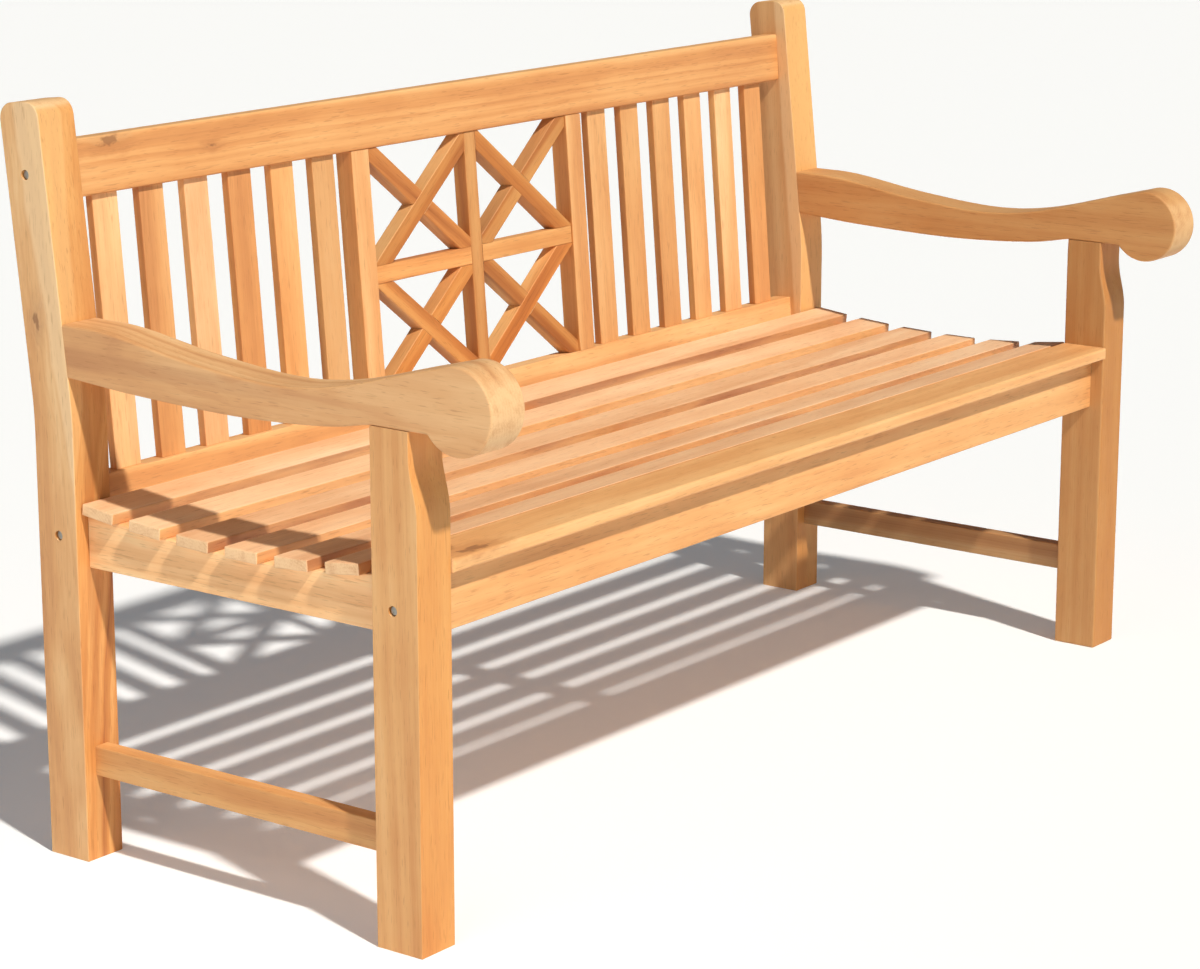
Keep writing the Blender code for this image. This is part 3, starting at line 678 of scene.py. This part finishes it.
def slope_of(name):
    """Direction of a sloping lattice bar, from the corners of its box."""
    low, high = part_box(name)
    span = high - low
    rising = ("diamond" in name) == (("upper" in name) == name.endswith("left"))
    sign = 1 if rising else -1
    return Vector((sign * span.x, span.z * math.sin(RAKE), span.z)).normalized()


def cut_of(name):
    """Direction of the fibres, and the radius of the softened edges."""
    grain, radius = next((cut[1:] for cut in CUTS if name.startswith(cut[0])))
    return grain or slope_of(name), radius


# %% [markdown]
# ## Timber
# A sawyer keeps no two boards alike. The boards that are seen most have a timber
# of their own: tone is lighter above 0 and darker below, warmth is redder above 0
# and yellower below, a pair of an axis and a share names the faces that get a deeper
# colour with painted shade and how russet they are, and a knot has a place on the
# bench and a radius. A generator seeded from the board's number draws the rest.

# %% The timber of the boards that are seen most
TIMBER = {
    "rear_post_left": dict(tone=-0.11, warmth=0.0, contrast=1.2, streak=0.3,
                           deep=(THROUGH, 0.2), pith=(0.084, 0.030), tilt=(0.0, -0.171),
                           sapwood=0.1385, knots=[((-0.80, 0.318, 0.66), 0.006)]),
    "rear_post_right": dict(tone=-0.15, warmth=0.10, contrast=0.5, streak=0.1,
                            deep=(THROUGH, 0.0), pith=(-0.030, 0.050), tilt=(0.0, -0.10),
                            sapwood=0.089),
    "front_leg_left": dict(tone=-0.20, warmth=0.17, contrast=0.5, streak=0.1,
                           deep=(THROUGH, 0.1)),
    "front_leg_right": dict(tone=-0.40, warmth=0.24, contrast=0.3, streak=0.1,
                            deep=(THROUGH, 0.1)),
    "armrest_left": dict(tone=-0.11, warmth=-0.04, contrast=1.0, pith=(0.10, -0.02)),
    # armrest_right is darker and redder partly as painted shade for its shaded inner side.
    "armrest_right": dict(tone=-0.28, warmth=0.20, contrast=0.35, streak=0.1),
    "back_top_rail": dict(tone=-0.14, warmth=0.18, contrast=0.8, streak=0.15,
                          knots=[((-0.675, 0.315, 0.860), 0.008),
                                 ((-0.50, 0.314, 0.835), 0.004)]),
    "front_seat_slat": dict(tone=-0.09, warmth=0.14, contrast=0.45, streak=0.1,
                            knots=[((-0.690, -0.250, 0.449), 0.010)]),
    "front_seat_rail": dict(tone=-0.12, warmth=0.20, contrast=0.5, streak=0.1),
    "seat_side_rail_left": dict(tone=0.12, warmth=-0.05, contrast=0.6, streak=0.1),
    "stretcher_left": dict(tone=-0.24, warmth=0.23, contrast=0.6),
    # stretcher_right is much darker partly as painted shade for its place in the shade under the
    # seat.
    "stretcher_right": dict(tone=-0.46, warmth=0.02),
    "back_slat_left_6": dict(tone=0.10, warmth=-0.04, contrast=0.5),
    "back_slat_left_5": dict(tone=-0.10, warmth=0.10),
    "back_slat_left_4": dict(tone=0.10, warmth=-0.15, contrast=0.5, streak=0.0),
    "back_slat_left_3": dict(tone=-0.08, warmth=0.14),
    "back_slat_left_2": dict(tone=-0.06, warmth=0.18, streak=0.2),
    "back_slat_left_1": dict(tone=-0.20, warmth=0.08, contrast=0.7),
    "back_stile_left": dict(tone=0.0, warmth=0.02, contrast=0.9, streak=0.2),
    "lattice_upright": dict(tone=-0.30, warmth=0.26, contrast=0.8),
    "back_slat_right_1": dict(tone=-0.12, warmth=0.08, contrast=0.7),
    "back_slat_right_2": dict(tone=-0.16, warmth=0.14, contrast=0.7),
    "back_slat_right_3": dict(tone=-0.16, warmth=0.14, contrast=0.6),
    "back_slat_right_4": dict(tone=-0.06, warmth=0.10, contrast=0.7),
    "back_slat_right_5": dict(tone=0.04, warmth=-0.02, contrast=0.6, streak=0.1),
    "back_slat_right_6": dict(tone=-0.08, warmth=0.12, contrast=0.7),
}
# The seat slats are paler and pinker than the other boards: partly their own colour, partly a
# painted sheen on their tops.
SEAT_TONES_AND_SHEEN = (0.15, 0.17, 0.08, 0.18, 0.14, 0.09)
# how far the front and back faces of each seat slat go russet, partly painted shade
SEAT_RUSSET_AND_SHADE = (0.9, 0.25, 1.0, 0.35, 0.9, 0.5)
for number, (seat_tone_and_sheen, russet_and_shade) in enumerate(zip(SEAT_TONES_AND_SHEEN, SEAT_RUSSET_AND_SHADE), 1):
    TIMBER[f"seat_slat_{number}"] = dict(
        tone=seat_tone_and_sheen, warmth=-0.28, contrast=0.5, streak=0.15, deep=(ACROSS, russet_and_shade),
    )
print(len(TIMBER), "boards with a timber of their own")


# %% Draw the rest
def timber_of(name, chance):
    """A board's timber: drawn first, so that the draws keep their order, then its own."""
    timber = dict(tone=chance.uniform(-0.16, 0.04), warmth=chance.uniform(0.02, 0.26))
    timber["contrast"] = chance.uniform(0.7, 1.15)
    timber["streak"] = chance.choice((0.0, 0.2, 0.35, 0.6))
    # deeper colour and painted shade on the sides of the back slats, stiles and lattice bars
    if name.startswith(("back_slat", "back_stile", "lattice")) and "crossbar" not in name:
        timber["deep"] = (ACROSS, 0.45)
    if name.startswith("lattice"):
        timber["tone"] -= 0.10
        timber["warmth"] += 0.06
    timber.update(TIMBER.get(name, {}))
    return timber


# %% Sand and finish every board
STEEL_PARTS = [n for n in solids if "_bolt_" in n or "_nut_" in n]
for number, name in enumerate(sorted(set(solids) - set(STEEL_PARTS))):
    grain, radius = cut_of(name)
    board, edges = sanded(name, radius, grain)
    low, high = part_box(name)
    chance = random.Random(1000 + 37 * number)
    timber = timber_of(name, chance)
    board.data.materials.append(teak(name, (low + high) / 2, grain, chance, **timber))
    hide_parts(name)
    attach(board, "root")
    print(name, edges, "edges softened")

# %% [markdown]
# ## Bolts and barrel nuts
# Six stainless socket-head bolts hold the ends together, and each bites into a
# round nut hidden in its rail. Their solids are the right shape, so they only
# need a turned edge and a metal finish with fine brushed rings.

# %% Brushed stainless steel
TURNED_EDGE = 0.0004
BRIGHT_STEEL = linear(182, 182, 176)
DULL_STEEL = linear(122, 120, 112)


def steel(name, centre):
    """Stainless steel, brushed in rings round the bolt's axis."""
    metal = Finish(name + "_steel")
    place = metal.add("Mapping", None, {
        "Vector": metal.add("TexCoord", None, None, "Object"), "Location": -centre,
    })
    _, y, z = metal.split(place)
    radius = (y * y + z * z) ** 0.5
    turning = metal.add("TexNoise", {"noise_dimensions": "1D"}, {"W": radius, "Scale": 5200.0})
    dull = metal.noise(place, (300, 300, 300), Vector((3, 1, 4)), 3.0)
    bump = metal.add("Bump", None, {"Height": turning, "Strength": 0.25, "Distance": 0.0001})
    metal.coat({
        "Base Color": metal.blend(dull, BRIGHT_STEEL, DULL_STEEL), "Metallic": 1.0,
        "Roughness": 0.24 + turning * 0.14 + dull * 0.12, "Normal": bump,
    })
    return metal.material


for name in sorted(STEEL_PARTS):
    piece, edges = sanded(name, TURNED_EDGE, UPRIGHT, 2)
    low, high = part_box(name)
    piece.data.materials.append(steel(name, (low + high) / 2))
    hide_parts(name)
    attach(piece, "root")
print(len(STEEL_PARTS), "bolts and nuts finished")
